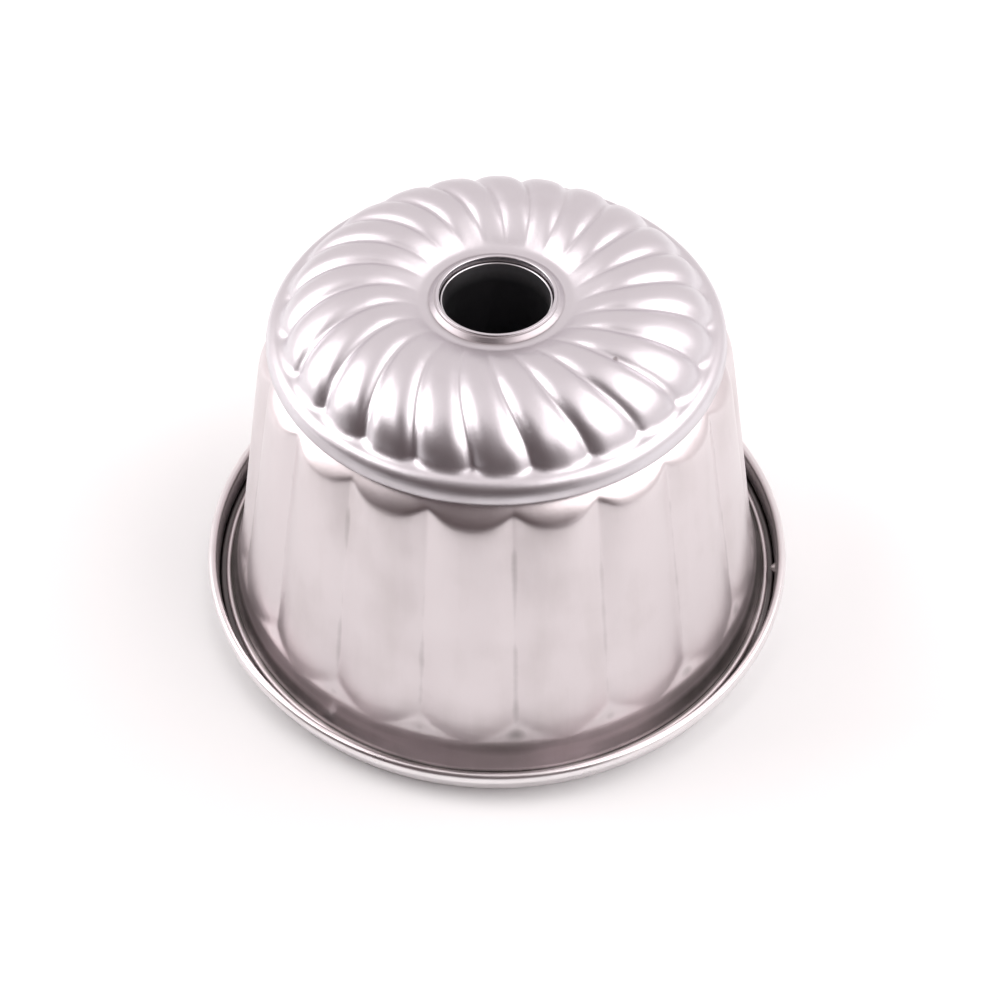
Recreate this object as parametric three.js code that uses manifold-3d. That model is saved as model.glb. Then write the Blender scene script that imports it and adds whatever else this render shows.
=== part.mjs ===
// Steamed-pudding mould standing upside down on its own lid.
// A swirled crown and a fluted wall make the mould, a blind tube runs down its middle, and a
// shallow pan with a curled rim closes the mouth. Millimetres, +Z up, the lid's base on z = 0.
import * as THREE from 'three';
import { mergeVertices } from 'three/addons/utils/BufferGeometryUtils.js';
import Module from 'manifold-3d';

const wasm = await Module();
wasm.setup();

const SHEET = 0.8;
const TUBE_GAP = 0.4;
const METALNESS = 0.9;
const QUARTER_TURN = 90;
const HALF_TURN = 180;
const FULL_TURN = 360;

// Lid: flat pan, plain skirt, rim curled outwards, three dimples pressed in over the mould's hem.
const LID_RADIUS = 95.0;
const LID_CURL_RADIUS = 1.5;
const LID_CURL_HEIGHT = 8.75;
const LID_CURL_SWEEP = 270;
const LID_CURL_STEPS = 6;
const LID_CORNER_RADIUS = 2.0;
const LID_CORNER_STEPS = 3;
const LID_SEGMENTS = 60;
const LID_COLOUR = 0xd6cfd0;
const LID_ROUGHNESS = 0.34;
const DIMPLE_COUNT = 3;
const DIMPLE_ANGLE = -7.5;
const DIMPLE_HEIGHT = 4.6;
const DIMPLE_HALF_WIDTH = 2.0;
const DIMPLE_CLEARANCE = 0.35;
const DIMPLE_SEGMENTS = 12;

// Wall: convex flutes on a cone, flared out at the foot to a plain band and a hem rolled upwards.
const FLUTE_COUNT = 18;
const FLUTE_LOW_DEPTH = 1.7;
const FLUTE_HIGH_DEPTH = 3.0;
const FLUTE_ROUNDNESS = 2.6;
const FLUTE_CREASE_ANGLE = -86.2;
const FLUTE_LOW = 12.0;
const FLUTE_LOW_FULL = 20.4;
const FLUTE_END_STEPS = 3;
const WALL_REFERENCE_RADIUS = 84.2;
const WALL_REFERENCE_HEIGHT = 10.4;
const WALL_TAPER = 0.188;
const FOOT_FLARE_TOP = 17.0;
const FOOT_FLARE = 0.0098;
const FOOT_STEPS = 4;
const SHOULDER_HEIGHT = 90.4;
const SHOULDER_RISE = 5.2;
const SHOULDER_LOW_SLOPE = 0.7;
const SHOULDER_HIGH_SLOPE = 1.46;
const SHOULDER_STEPS = 3;
const HEM_RADIUS = 0.9;
const HEM_CENTRE_RADIUS = 89.0;
const HEM_CLEARANCE = 0.3;
const HEM_START_ANGLE = 165;
const HEM_END_ANGLE = -125;
const HEM_STEPS = 6;
const WALL_COLUMNS_PER_FLUTE = 5;
const WALL_COLOUR = 0xd9d0d1;
const WALL_ROUGHNESS = 0.38;

// Crown: swirled convex flutes between a raised collar and a rolled seam bead.
const SWIRL_COUNT = 24;
const SWIRL_CREASE_ANGLE = -95.7;
const SWIRL_DEGREES_PER_MM = 0.4;
const SWIRL_DEPTH_TO_WIDTH = 0.15;
const SWIRL_ROUNDNESS = 2.9;
const SWIRL_START_RADIUS = 22.0;
const SWIRL_START_SHARE = 0.25;
const SWIRL_START_STEPS = 3;
const SWIRL_FULL_RADIUS = 34.0;
const CROWN_TOP = 116.8;
const CREST_RADIUS = 38.0;
const CROWN_EDGE_RADIUS = 61.4;
const CROWN_FOOT_RADIUS = 62.4;
const CROWN_FOOT_BASE = 98.0;
const CROWN_FOOT_FULLNESS = 2.1;
const CROWN_FOOT_STEPS = 5;
const CROWN_COLUMNS_PER_FLUTE = 4;
const CROWN_COLOUR = 0xdcd6d7;
const CROWN_ROUGHNESS = 0.3;
const SEAM_BEAD_RADIUS = 3.8;
const SEAM_BEAD_CENTRE_RADIUS = 61.7;
const SEAM_BEAD_CENTRE_HEIGHT = 100.0;
const SEAM_BEAD_TUCK_ANGLE = -95;
const SEAM_BEAD_STEPS = 6;
const COLLAR_TOP = 112.6;
const COLLAR_RADIUS = 19.0;
const COLLAR_STEP = 1.0;
const COLLAR_FOOT_RADIUS = 19.3;
const COLLAR_EDGE = 0.4;
const BORE_RADIUS = 16.2;
const NECK_LOW = 104.0;

// Stub: the wall's upright edge, standing inside the seam bead.
const STUB_INSET = 0.8;
const STUB_REACH = 1.5;

// Tube: a tapered blind tube, widest at the crown, its closed end just above the lid.
const TUBE_TOP = 110.8;
const TUBE_END = 4.0;
const TUBE_END_RADIUS = 11.5;
const TUBE_END_ROUND = 4.0;
const TUBE_END_STEPS = 3;
const TUBE_SEGMENTS = 36;
const TUBE_COLOUR = 0xa9a3a4;
const TUBE_ROUGHNESS = 0.42;

const LID_CURL_CENTRE_RADIUS = LID_RADIUS - LID_CURL_RADIUS;
const SKIRT_INNER_RADIUS = LID_CURL_CENTRE_RADIUS - LID_CURL_RADIUS;
const SKIRT_OUTER_RADIUS = SKIRT_INNER_RADIUS + SHEET;
const HEM_OUTER_RADIUS = HEM_CENTRE_RADIUS + HEM_RADIUS;
const HEM_CENTRE_HEIGHT = SHEET + HEM_CLEARANCE + HEM_RADIUS;
const DIMPLE_REACH = SKIRT_OUTER_RADIUS - (HEM_OUTER_RADIUS + DIMPLE_CLEARANCE);
const SHELF_HEIGHT = SHOULDER_HEIGHT + SHOULDER_RISE;
const LEDGE_HEIGHT = SEAM_BEAD_CENTRE_HEIGHT + SEAM_BEAD_RADIUS;
const STUB_RADIUS = SEAM_BEAD_CENTRE_RADIUS - STUB_INSET;
const STUB_TOP = SEAM_BEAD_CENTRE_HEIGHT + STUB_REACH;
const COLLAR_FOOT_HEIGHT = COLLAR_TOP - COLLAR_STEP;

const radians = THREE.MathUtils.degToRad;

// Points of a profile are Vector2: x is the distance from the axis, y the height.
const point = (radius, height) => new THREE.Vector2(radius, height);

function spread(from, to, count) {
  return Array.from({ length: count + 1 }, (_, i) => from + ((to - from) * i) / count);
}

function arc(centre, radius, fromDegrees, toDegrees, count) {
  return spread(radians(fromDegrees), radians(toDegrees), count).map((angle) => point(
    centre.x + radius * Math.cos(angle),
    centre.y + radius * Math.sin(angle),
  ));
}

// Moves an open profile sideways to its right by a distance, with mitred corners.
function offsetProfile(profile, distance) {
  const normals = profile.slice(1).map((end, i) => {
    const along = end.clone().sub(profile[i]).normalize();
    return point(along.y, -along.x);
  });
  return profile.map((corner, i) => {
    const before = normals[Math.max(i - 1, 0)];
    const after = normals[Math.min(i, normals.length - 1)];
    const mitre = before.clone().add(after).normalize();
    return corner.clone().addScaledVector(mitre, distance / mitre.dot(after));
  });
}

function onAxis(radius, height, degrees) {
  const angle = radians(degrees);
  return new THREE.Vector3(radius * Math.cos(angle), radius * Math.sin(angle), height);
}

// How far a column lies from the crest of its flute: 0 on the crest, 1 on the crease.
function fromCrest(column, columnsPerFlute) {
  return Math.abs(2 * ((column / columnsPerFlute) % 1) - 1);
}

// Sweeps a closed loop of profile rows round the axis; place gives each row's point per column.
function sweptSolid(rows, columns, place) {
  const positions = [];
  for (const row of rows) {
    for (let column = 0; column < columns; column += 1) {
      positions.push(...place(row, column).toArray());
    }
  }
  const indices = [];
  const at = (row, column) => (row % rows.length) * columns + (column % columns);
  for (let row = 0; row < rows.length; row += 1) {
    for (let column = 0; column < columns; column += 1) {
      const [a, b] = [at(row, column), at(row, column + 1)];
      const [c, d] = [at(row + 1, column + 1), at(row + 1, column)];
      indices.push(a, d, c, a, c, b);
    }
  }
  const geometry = new THREE.BufferGeometry();
  geometry.setAttribute('position', new THREE.Float32BufferAttribute(positions, 3));
  geometry.setIndex(indices);
  geometry.computeVertexNormals();
  return geometry;
}

// A lathe turned about +Z from a profile that starts and ends on the axis.
function turned(profile, segments) {
  return new THREE.LatheGeometry(profile, segments).rotateX(Math.PI / 2);
}

function toManifold(geometry) {
  const bare = geometry.clone();
  bare.deleteAttribute('normal');
  bare.deleteAttribute('uv');
  const welded = mergeVertices(bare);
  return new wasm.Manifold(new wasm.Mesh({
    numProp: 3,
    vertProperties: new Float32Array(welded.attributes.position.array),
    triVerts: new Uint32Array(welded.index.array),
  }));
}

function toGeometry(manifold) {
  const { vertProperties, triVerts } = manifold.getMesh();
  const geometry = new THREE.BufferGeometry();
  geometry.setAttribute('position', new THREE.Float32BufferAttribute(vertProperties, 3));
  geometry.setIndex([...triVerts]);
  geometry.computeVertexNormals();
  return geometry;
}

// Lid

function lidProfile() {
  const curl = point(LID_CURL_CENTRE_RADIUS, LID_CURL_HEIGHT);
  const curlEnd = HALF_TURN - LID_CURL_SWEEP;
  const corner = point(SKIRT_OUTER_RADIUS - LID_CORNER_RADIUS, LID_CORNER_RADIUS);
  return [
    point(0, 0),
    ...arc(corner, LID_CORNER_RADIUS, -QUARTER_TURN, 0, LID_CORNER_STEPS),
    ...arc(curl, LID_CURL_RADIUS - SHEET, HALF_TURN, curlEnd, LID_CURL_STEPS),
    ...arc(curl, LID_CURL_RADIUS, curlEnd, HALF_TURN, LID_CURL_STEPS),
    ...arc(corner, LID_CORNER_RADIUS - SHEET, 0, -QUARTER_TURN, LID_CORNER_STEPS),
    point(0, SHEET),
  ];
}

function dimple(degrees, shrink) {
  const width = DIMPLE_HALF_WIDTH - shrink;
  const ball = new THREE.SphereGeometry(1, DIMPLE_SEGMENTS, DIMPLE_SEGMENTS / 2);
  ball.scale(DIMPLE_REACH - shrink, width, width);
  ball.rotateZ(radians(degrees));
  const centre = onAxis(SKIRT_OUTER_RADIUS, DIMPLE_HEIGHT, degrees);
  return toManifold(ball.translate(centre.x, centre.y, centre.z));
}

function lidGeometry() {
  const insideSkirt = toManifold(turned([
    point(0, LID_CORNER_RADIUS),
    point(SKIRT_OUTER_RADIUS, LID_CORNER_RADIUS),
    point(SKIRT_OUTER_RADIUS, LID_CURL_HEIGHT),
    point(0, LID_CURL_HEIGHT),
  ], LID_SEGMENTS));
  let pan = toManifold(turned(lidProfile(), LID_SEGMENTS));
  for (let i = 0; i < DIMPLE_COUNT; i += 1) {
    const degrees = DIMPLE_ANGLE + (FULL_TURN * i) / DIMPLE_COUNT;
    pan = pan.add(dimple(degrees, 0).intersect(insideSkirt));
    pan = pan.subtract(dimple(degrees, SHEET));
  }
  return toGeometry(pan);
}

// Wall

// Distance of the flutes' crests from the axis, before the shoulder cuts them off.
function wallCrest(height) {
  const cone = WALL_REFERENCE_RADIUS - WALL_TAPER * (height - WALL_REFERENCE_HEIGHT);
  return cone + FOOT_FLARE * Math.max(FOOT_FLARE_TOP - height, 0) ** 2;
}

function shoulderRadius(height) {
  const rise = (height - SHOULDER_HEIGHT) / SHOULDER_RISE;
  const bend = (SHOULDER_HIGH_SLOPE - SHOULDER_LOW_SLOPE) / 2;
  const drop = SHOULDER_RISE * (SHOULDER_LOW_SLOPE * rise + bend * rise ** 2);
  return wallCrest(SHOULDER_HEIGHT) - drop;
}

// Outer face from the seam down to the hem, on the crests of the flutes.
function wallProfile() {
  const shoulder = spread(SHELF_HEIGHT, SHOULDER_HEIGHT, SHOULDER_STEPS);
  const fluteEnds = spread(FLUTE_LOW_FULL, FLUTE_LOW, FLUTE_END_STEPS);
  const foot = spread(FLUTE_LOW, HEM_CENTRE_HEIGHT, FOOT_STEPS).slice(1);
  return [
    point(STUB_RADIUS, STUB_TOP),
    point(STUB_RADIUS, SHELF_HEIGHT),
    ...shoulder.map((height) => point(shoulderRadius(height), height)),
    ...fluteEnds.map((height) => point(wallCrest(height), height)),
    ...foot.map((height) => point(wallCrest(height), height)),
  ];
}

// How far the wall lies behind the crests of its flutes, beside a point on the crest line.
function fluteDent(offCrest, crest) {
  const { clamp, lerp, inverseLerp } = THREE.MathUtils;
  const height = clamp(inverseLerp(FLUTE_LOW_FULL, SHOULDER_HEIGHT, crest.y), 0, 1);
  const depth = lerp(FLUTE_LOW_DEPTH, FLUTE_HIGH_DEPTH, height);
  const shoulderDrop = Math.max(wallCrest(crest.y) - crest.x, 0);
  const flareLimit = depth * clamp(inverseLerp(FLUTE_LOW, FLUTE_LOW_FULL, crest.y), 0, 1);
  return clamp(depth * offCrest ** FLUTE_ROUNDNESS - shoulderDrop, 0, flareLimit);
}

function wallGeometry() {
  const outer = wallProfile();
  const inner = offsetProfile(outer, SHEET);
  const hemCentre = point(HEM_CENTRE_RADIUS, HEM_CENTRE_HEIGHT);
  const hem = arc(hemCentre, HEM_RADIUS, HEM_START_ANGLE, HEM_END_ANGLE, HEM_STEPS);
  const rows = [
    ...outer.map((face) => ({ face, crest: face })),
    ...hem.map((face) => ({ face, crest: face })),
    ...inner.map((face, i) => ({ face, crest: outer[i] })).reverse(),
  ];
  const columns = FLUTE_COUNT * WALL_COLUMNS_PER_FLUTE;
  return sweptSolid(rows, columns, ({ face, crest }, column) => {
    const dent = fluteDent(fromCrest(column, WALL_COLUMNS_PER_FLUTE), crest);
    const degrees = FLUTE_CREASE_ANGLE + (FULL_TURN * column) / columns;
    return onAxis(face.x - dent, face.y, degrees);
  });
}

// Crown

const plainRow = (crest) => ({ crest, dent: point(0, 0) });

// Depth of the creases between the swirled flutes, shallow where the flutes start.
function swirlDepth(radius) {
  const full = THREE.MathUtils.inverseLerp(SWIRL_START_RADIUS, SWIRL_FULL_RADIUS, radius);
  const share = THREE.MathUtils.lerp(SWIRL_START_SHARE, 1, THREE.MathUtils.clamp(full, 0, 1));
  return share * SWIRL_DEPTH_TO_WIDTH * radius * radians(FULL_TURN / SWIRL_COUNT);
}

// The flutes' outer ends, from the ledge to the top of the crown. Each row has its point on the
// crest line and the way down from there to the crease between two flutes.
function fluteFeet() {
  const rise = CROWN_TOP - CROWN_FOOT_BASE;
  const ledgeShare = (LEDGE_HEIGHT - CROWN_FOOT_BASE) / rise;
  const footLean = Math.acos(ledgeShare ** (CROWN_FOOT_FULLNESS / 2));
  return spread(footLean, 0, CROWN_FOOT_STEPS).map((lean) => {
    const out = Math.sin(lean) ** (2 / CROWN_FOOT_FULLNESS);
    const up = Math.cos(lean) ** (2 / CROWN_FOOT_FULLNESS);
    const radius = CREST_RADIUS + (CROWN_FOOT_RADIUS - CREST_RADIUS) * out;
    const depth = swirlDepth(radius);
    return {
      crest: point(radius, CROWN_FOOT_BASE + rise * up),
      dent: point(-depth * Math.sin(lean), -depth * Math.cos(lean)),
    };
  });
}

// The flutes' inner ends, from the top of the crown down to the plain ring round the collar.
function fluteStarts() {
  const drop = CROWN_TOP - COLLAR_FOOT_HEIGHT;
  return spread(0, 1, SWIRL_START_STEPS).slice(1).map((way) => {
    const radius = CREST_RADIUS + (SWIRL_START_RADIUS - CREST_RADIUS) * way;
    const dent = point(0, -swirlDepth(radius) * (1 - way ** 2));
    return { crest: point(radius, CROWN_TOP - drop * way ** 2), dent };
  });
}

// Outer face from the tucked edge of the seam bead, over the flutes, down the collar's bore.
function crownRows() {
  const bead = point(SEAM_BEAD_CENTRE_RADIUS, SEAM_BEAD_CENTRE_HEIGHT);
  const beadTurn = [SEAM_BEAD_TUCK_ANGLE, QUARTER_TURN, SEAM_BEAD_STEPS];
  const collar = [
    point(COLLAR_FOOT_RADIUS, COLLAR_FOOT_HEIGHT),
    point(COLLAR_RADIUS, COLLAR_TOP - COLLAR_EDGE),
    point(COLLAR_RADIUS - COLLAR_EDGE, COLLAR_TOP),
    point(BORE_RADIUS + COLLAR_EDGE, COLLAR_TOP),
    point(BORE_RADIUS, COLLAR_TOP - COLLAR_EDGE),
    point(BORE_RADIUS, NECK_LOW),
  ];
  return [
    ...arc(bead, SEAM_BEAD_RADIUS, ...beadTurn).map(plainRow),
    ...fluteFeet(),
    ...fluteStarts(),
    ...collar.map(plainRow),
  ];
}

function crownGeometry() {
  const outer = crownRows();
  const inner = offsetProfile(outer.map(({ crest }) => crest), -SHEET);
  const rows = [
    ...inner.map((face, i) => ({ face, ...outer[i] })),
    ...outer.map((row) => ({ face: row.crest, ...row })).reverse(),
  ];
  const columns = SWIRL_COUNT * CROWN_COLUMNS_PER_FLUTE;
  return sweptSolid(rows, columns, ({ face, crest, dent }, column) => {
    const share = fromCrest(column, CROWN_COLUMNS_PER_FLUTE) ** SWIRL_ROUNDNESS;
    const dented = face.clone().addScaledVector(dent, share);
    const twist = SWIRL_DEGREES_PER_MM * Math.min(crest.x - CROWN_EDGE_RADIUS, 0);
    const degrees = SWIRL_CREASE_ANGLE + twist + (FULL_TURN * column) / columns;
    return onAxis(dented.x, dented.y, degrees);
  });
}

// Tube

function tubeGeometry() {
  const topRadius = BORE_RADIUS - TUBE_GAP;
  const round = point(TUBE_END_RADIUS - TUBE_END_ROUND, TUBE_END + TUBE_END_ROUND);
  return turned([
    point(0, TUBE_END),
    ...arc(round, TUBE_END_ROUND, -QUARTER_TURN, 0, TUBE_END_STEPS),
    point(topRadius, NECK_LOW),
    point(topRadius, TUBE_TOP),
    point(topRadius - SHEET, TUBE_TOP),
    point(topRadius - SHEET, NECK_LOW),
    ...arc(round, TUBE_END_ROUND - SHEET, 0, -QUARTER_TURN, TUBE_END_STEPS),
    point(0, TUBE_END + SHEET),
  ], TUBE_SEGMENTS);
}

// Assembly

function piece(name, geometry, colour, roughness) {
  const material = new THREE.MeshStandardMaterial({
    color: colour,
    roughness,
    metalness: METALNESS,
  });
  const mesh = new THREE.Mesh(geometry, material);
  mesh.name = name;
  return mesh;
}

const lid = new THREE.Group();
lid.name = 'lid';
lid.add(piece('lid_pan', lidGeometry(), LID_COLOUR, LID_ROUGHNESS));

const mould = new THREE.Group();
mould.name = 'mould';
mould.add(piece('fluted_wall', wallGeometry(), WALL_COLOUR, WALL_ROUGHNESS));
mould.add(piece('swirl_crown', crownGeometry(), CROWN_COLOUR, CROWN_ROUGHNESS));
mould.add(piece('centre_tube', tubeGeometry(), TUBE_COLOUR, TUBE_ROUGHNESS));

const puddingMould = new THREE.Group();
puddingMould.name = 'pudding_mould';
puddingMould.add(lid, mould);

export default puddingMould;
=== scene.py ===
"""A lidded pudding mould, standing upside down on its lid, dressed as bright satin aluminium.

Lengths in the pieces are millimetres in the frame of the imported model, and meshes are made in metres.
Lengths in the studio are metres.
"""
import logging
import math
from dataclasses import dataclass
from enum import Enum

import bpy
import numpy as np
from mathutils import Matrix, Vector


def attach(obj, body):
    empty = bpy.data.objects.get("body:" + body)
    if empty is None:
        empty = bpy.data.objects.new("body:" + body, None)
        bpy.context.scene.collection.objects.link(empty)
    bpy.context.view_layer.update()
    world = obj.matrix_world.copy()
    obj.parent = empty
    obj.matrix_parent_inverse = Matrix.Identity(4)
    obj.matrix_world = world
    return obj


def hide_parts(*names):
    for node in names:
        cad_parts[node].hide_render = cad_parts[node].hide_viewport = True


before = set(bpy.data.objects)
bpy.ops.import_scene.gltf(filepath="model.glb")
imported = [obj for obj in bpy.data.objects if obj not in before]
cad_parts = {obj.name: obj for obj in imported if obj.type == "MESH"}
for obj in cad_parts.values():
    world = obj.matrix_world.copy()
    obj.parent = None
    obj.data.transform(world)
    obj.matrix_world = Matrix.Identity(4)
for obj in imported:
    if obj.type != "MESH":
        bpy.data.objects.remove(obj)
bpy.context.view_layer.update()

LOG = logging.getLogger("pudding_mould")
MM = 0.001
NEARLY_ZERO = 1e-9
QUARTER_TURN = 90.0
HALF_TURN = 180.0
FULL_TURN = 360.0
RISE = (0.0, 1.0)
FALL = (1.0, 0.0)
RISE_AND_FALL = (0.0, 1.0, 1.0, 0.0)
# Point attribute that carries painted shade: how far each point is darkened toward its finish's shade colour.
PAINTED_SHADE_ATTRIBUTE = "crease"
MATT = 1.0

Pair = tuple[float, float]
Colour = tuple[float, float, float]
Place = tuple[float, float, float]

MIDDLE: Place = (0.0, 0.0, 0.06)
CARD_SHADE: Colour = (0.08, 0.055, 0.058)


class Body(Enum):
    """The two bodies that come apart."""

    LID = "lid"
    MOULD = "mould"


class Grain(Enum):
    """How the marks of making run over a sheet: the stretch of their pattern along X, Y and Z."""

    DRAWN = (1.0, 1.0, 0.05)
    CLOUDED = (1.0, 1.0, 1.0)


# Shapes shared by the pieces


def arc(centre: Pair, radius: float | np.ndarray, start: float, end: float, count: int,
        stretch: float = 1.0) -> np.ndarray:
    """Points along an arc of a profile.

    Args:
        centre: Distance from the axis and height of the arc's centre.
        radius: Radius of the arc, or of each of its points.
        start: First angle in degrees, from straight outwards.
        end: Last angle in degrees.
        count: Number of steps between the two.
        stretch: Factor on the arc's height.

    Returns:
        An array of (distance from the axis, height) rows.
    """
    angles = np.radians(np.linspace(start, end, count + 1))
    return np.stack([centre[0] + radius * np.cos(angles),
                     centre[1] + stretch * radius * np.sin(angles)], axis=1)


def offset_profile(profile: np.ndarray, distance: float) -> np.ndarray:
    """Moves an open profile sideways to its right, with mitred corners.

    Args:
        profile: Rows of (distance from the axis, height).
        distance: How far to move it.

    Returns:
        The moved profile, row for row.
    """
    along = np.diff(profile, axis=0)
    along /= np.linalg.norm(along, axis=1, keepdims=True)
    normals = np.stack([along[:, 1], -along[:, 0]], axis=1)
    before = np.concatenate([normals[:1], normals])
    after = np.concatenate([normals, normals[-1:]])
    mitre = before + after
    mitre /= np.linalg.norm(mitre, axis=1, keepdims=True)
    return profile + mitre * (distance / np.sum(mitre * after, axis=1, keepdims=True))


def soft_min(a: np.ndarray, b: np.ndarray, blend: float) -> np.ndarray:
    """The smaller of two values, with the corner between them rounded over a width of blend."""
    return 0.5 * (a + b - np.sqrt((a - b) ** 2 + blend**2))


def soft_share(a: np.ndarray, b: np.ndarray, sharpness: float) -> np.ndarray:
    """The smaller of two shares from 0 to 1, with a soft corner between them, and 0 where either is 0."""
    return a * b / np.maximum((a**sharpness + b**sharpness) ** (1.0 / sharpness), NEARLY_ZERO)


def turn_between(first: np.ndarray, second: np.ndarray) -> np.ndarray:
    """How far the first angle lies past the second, from minus to plus half a turn, in degrees."""
    return (first - second + HALF_TURN) % FULL_TURN - HALF_TURN


def in_rows(values: np.ndarray, columns: int) -> np.ndarray:
    """One row per value, with the value in every column."""
    return np.repeat(values[:, None], columns, axis=1)


@dataclass(frozen=True)
class Flutes:
    """A ring of equal convex flutes, with columns of points gathered near the creases between them."""

    count: int
    columns: int
    first_crease: float
    roundness: float
    crease_width: float
    gathering: float = 0.6

    def places(self) -> np.ndarray:
        """Places of one flute's columns across it.

        Returns:
            Shares of its width, from 0 at a crease to almost 1 at the next.
        """
        even = np.arange(self.columns) / self.columns
        gathered = 0.5 - 0.5 * np.cos(math.pi * even)
        return (1.0 - self.gathering) * even + self.gathering * gathered

    def degrees(self) -> np.ndarray:
        """Angles of all columns round the axis, in degrees."""
        turns = (np.arange(self.count)[:, None] + self.places()[None, :]) / self.count
        return self.first_crease + FULL_TURN * turns.ravel()

    def off_crease(self) -> np.ndarray:
        """Distance of each column from the nearest crease, as a share of a flute's width."""
        return np.tile(np.minimum(self.places(), 1.0 - self.places()), self.count)

    def dents(self) -> np.ndarray:
        """Depth of each column below the crests.

        Returns:
            Shares from 0 on a crest to about 1 in a crease, which has a small round.
        """
        off = np.abs(2.0 * self.places() - 1.0)
        start = 1.0 - self.crease_width
        slope = self.roundness * start ** (self.roundness - 1.0)
        into = np.maximum(off - start, 0.0)
        rounded = start**self.roundness + slope * (into - into**2 / (2.0 * self.crease_width))
        return np.tile(np.where(off > start, rounded, off**self.roundness), self.count)


def swept_piece(name: str, radius: np.ndarray, height: np.ndarray, degrees: np.ndarray, crease: np.ndarray,
                capped: bool = False) -> bpy.types.Object:
    """Makes a closed body from rows swept round the axis.

    Args:
        name: Name of the piece.
        radius: Distance from the axis in mm, one row per profile point and one column per angle.
        height: Height in mm, in the same rows and columns.
        degrees: Angle of each point, in the same rows and columns or one row for all.
        crease: How much painted shade each point carries, from 0 for none, in the same rows and columns.
        capped: Whether the first and the last row are closed by points on the axis, and not joined in a loop.

    Returns:
        The new object, with smooth faces that point outwards and the painted shade kept as an attribute.
    """
    rows, columns = radius.shape
    angle = np.radians(np.broadcast_to(degrees, radius.shape))
    points = np.stack([radius * np.cos(angle), radius * np.sin(angle), height], axis=2) * MM
    row, column = np.meshgrid(np.arange(rows - capped), np.arange(columns), indexing="ij")
    next_row, next_column = (row + 1) % rows, (column + 1) % columns
    quads = np.stack([row * columns + column, row * columns + next_column,
                      next_row * columns + next_column, next_row * columns + column], axis=2).reshape(-1, 4)
    flat, depths = points.reshape(-1, 3), crease.ravel()
    fans = np.zeros((0, 3), int)
    if capped:
        ring, after = np.arange(columns), (np.arange(columns) + 1) % columns
        first, last, end = len(flat), len(flat) + 1, (rows - 1) * columns
        fans = np.concatenate([np.stack([after, ring, np.full(columns, first)], axis=1),
                               np.stack([end + ring, end + after, np.full(columns, last)], axis=1)])
        flat = np.concatenate([flat, points[[0, -1]].mean(axis=1)])
        depths = np.concatenate([depths, crease[[0, -1], 0]])
    corner = flat[quads]
    halves = np.cross(corner[:, 2] - corner[:, 0], corner[:, 3] - corner[:, 1])
    turn = 1 if np.sum(halves * corner.mean(axis=1)) > 0.0 else -1
    mesh = bpy.data.meshes.new(name)
    mesh.from_pydata(flat.tolist(), [], quads[:, ::turn].tolist() + fans[:, ::turn].tolist())
    mesh.shade_smooth()
    mesh.attributes.new(PAINTED_SHADE_ATTRIBUTE, "FLOAT", "POINT").data.foreach_set("value", depths.astype(np.float32))
    piece = bpy.data.objects.new(name, mesh)
    bpy.context.scene.collection.objects.link(piece)
    return piece


# Finishes


def opaque(colour: Colour) -> tuple[float, float, float, float]:
    """The colour with nothing showing through."""
    return (*colour, 1.0)


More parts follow.
